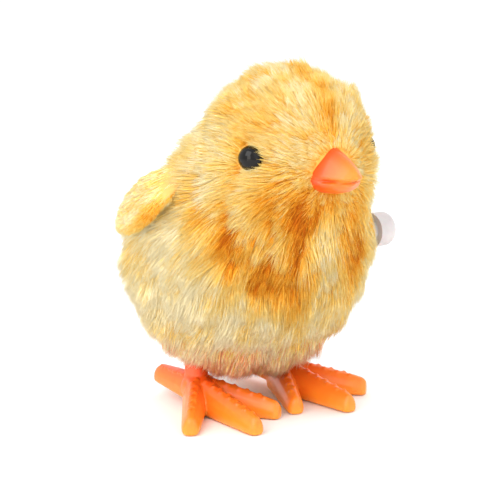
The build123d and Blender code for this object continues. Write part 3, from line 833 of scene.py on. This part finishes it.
def add_toe(mesh, ankle, tip, root_size, tip_size, sole):
    """Tapering toe in short overlapping lumps, with scales along its crest."""
    along = unit(tip - ankle)
    across = unit(np.cross(along, [0.0, 0.0, 1.0]))
    length = np.linalg.norm(tip - ankle)
    beyond = tip_size[0] / length
    ends = [(0.0, 1.0), (0.35, 1.0), (0.7, 1.0), (0.95, 1.0)]
    ends += [(1.0 + 0.35 * beyond, 0.92), (1.0 + 0.65 * beyond, 0.74), (1.0 + 0.82 * beyond, 0.48)]
    sections = []
    for at, shrink in ends:
        size = [a + (b - a) * min(at, 1) for a, b in zip(root_size, tip_size)]
        centre = ankle + along * length * at
        bottom = centre[2] - sole if sole is not None else size[0]
        sections.append(toe_section(centre, across, size[0] * shrink, size[1] * shrink, bottom))
    for first, second in zip(sections, sections[1:]):
        add_hull(mesh, first + second)
    for number in range(int((length - 3) / SCALE_PITCH)):
        at = (SCALE_START + number * SCALE_PITCH) / length
        top = root_size[1] + (tip_size[1] - root_size[1]) * at
        side = SCALE_SIDE * (1 if number % 2 else -1)
        place = ankle + along * length * at + across * side + np.array([0, 0, top - SCALE_SINK])
        lump = bmesh.ops.create_icosphere(mesh, subdivisions=3, radius=SCALE_R * MM)
        bmesh.ops.translate(mesh, verts=lump["verts"], vec=Vector(place * MM))


def stem_top(mesh, node):
    """Adds the CAD foot's stem and hub above the ankle."""
    mesh.from_mesh(node.data)
    cut = bmesh.ops.bisect_plane(
        mesh,
        geom=mesh.verts[:] + mesh.edges[:] + mesh.faces[:],
        plane_co=(0, 0, STEM_CUT_Z * MM),
        plane_no=(0, 0, 1),
        clear_inner=True,
    )
    edges = [e for e in cut["geom_cut"] if isinstance(e, bmesh.types.BMEdge)]
    bmesh.ops.holes_fill(mesh, edges=edges)


def foot_object(side, word):
    """Foot melted together from its toes, ankle and stem, with flat soles."""
    node = frame["nodes"][f"foot_{word}"]
    flip = np.array([side, 1, 1])
    ankle = ANKLE * flip
    mesh = bmesh.new()
    stem_top(mesh, node)
    for tip in TOES:
        add_toe(mesh, ankle, np.array(tip) * flip, TOE_ROOT, TOE_END, 0.0)
    add_toe(mesh, ankle, np.array(HIND_TOE) * flip, HIND_ROOT, HIND_END, None)
    heel = bmesh.ops.create_icosphere(mesh, subdivisions=3, radius=HEEL_R * MM)
    bmesh.ops.translate(mesh, verts=heel["verts"], vec=Vector(ankle * MM))
    data = bpy.data.meshes.new("foot_rough")
    mesh.to_mesh(data)
    mesh.free()
    rough = bpy.data.objects.new("foot_rough", data)
    scene.collection.objects.link(rough)
    melt = rough.modifiers.new("melt", "REMESH")
    melt.mode = "VOXEL"
    melt.voxel_size = FOOT_VOXEL * MM
    ease = rough.modifiers.new("ease", "SMOOTH")
    ease.factor = 0.5
    ease.iterations = 7
    bpy.context.view_layer.update()
    graph = bpy.context.evaluated_depsgraph_get()
    finished = bpy.data.meshes.new_from_object(rough.evaluated_get(graph))
    bpy.data.objects.remove(rough)
    points = np.zeros(len(finished.vertices) * 3, np.float32)
    finished.vertices.foreach_get("co", points)
    points = points.reshape(-1, 3)
    points[:, 2] = np.maximum(points[:, 2], 0)
    finished.vertices.foreach_set("co", points.ravel())
    finished.shade_smooth()
    finished.materials.clear()
    finished.materials.append(foot_plastic)
    return bpy.data.objects.new(f"foot_shape_{word}", finished)


for side, word in ((1, "left"), (-1, "right")):
    foot = foot_object(side, word)
    link(foot, "legs")
    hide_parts(f"foot_{word}")

# ---------------------------------------------------------------- floor, lights and camera
AIM = Vector((-4.7, -2.4, 36.0)) * MM
CAMERA_AZIMUTH = -38
CAMERA_ELEVATION = 11.3
CAMERA_DISTANCE = 0.318
LENS = 110
WORLD_STRENGTH = 1.12
LIGHT_DISTANCE = 0.6
LIGHTS = [  # name, azimuth, elevation, size, power, colour
    ("key_light", -75, 48, 0.45, 1.85, (1.0, 1.0, 1.0)),
    ("fill_light", 20, 35, 0.6, 0.6, (1.0, 1.0, 1.0)),
    ("rim_light", 140, 50, 0.5, 0.6, (1.0, 1.0, 1.0)),
    ("low_light", -60, 14, 0.3, 0.7, (1.0, 0.92, 0.82)),
]


def from_angle(azimuth, elevation, distance):
    """Point at a distance from the aim; azimuth 0 is in front of the chick."""
    turn, rise = radians(azimuth), radians(elevation)
    way = Vector((sin(turn) * cos(rise), -cos(turn) * cos(rise), sin(rise)))
    return AIM + way * distance


def face_aim(obj):
    """Turns a light or the camera towards the aim."""
    obj.rotation_mode = "QUATERNION"
    obj.rotation_quaternion = (AIM - obj.location).to_track_quat("-Z", "Y")


def soft_light(name, azimuth, elevation, size, power, colour):
    """Square soft light that faces the aim."""
    lamp = bpy.data.lights.new(name, "AREA")
    lamp.size = size
    lamp.energy = power
    lamp.color = colour
    light = bpy.data.objects.new(name, lamp)
    light.location = from_angle(azimuth, elevation, LIGHT_DISTANCE)
    face_aim(light)
    scene.collection.objects.link(light)


def studio():
    """Pale floor, white surroundings and large soft lights."""
    bpy.ops.mesh.primitive_plane_add(size=40)
    floor = bpy.context.object
    floor.name = "floor"
    paper = material("floor_paper", srgb(250, 250, 250), 0.9)
    mottle(paper, [srgb(249, 249, 249), srgb(252, 252, 252)], 30.0)
    floor.data.materials.append(paper)
    floor.location.z = -0.0002
    world = bpy.data.worlds.new("studio")
    world.use_nodes = True
    world.node_tree.nodes["Background"].inputs["Color"].default_value = (1, 1, 1, 1)
    world.node_tree.nodes["Background"].inputs["Strength"].default_value = WORLD_STRENGTH
    scene.world = world
    for light in LIGHTS:
        soft_light(*light)


def camera():
    data = bpy.data.cameras.new("camera")
    data.lens = LENS
    data.sensor_width = 36
    data.clip_start = 0.01
    view = bpy.data.objects.new("camera", data)
    view.location = from_angle(CAMERA_AZIMUTH, CAMERA_ELEVATION, CAMERA_DISTANCE)
    face_aim(view)
    scene.collection.objects.link(view)
    scene.camera = view


studio()
camera()
scene.view_settings.view_transform = "Standard"
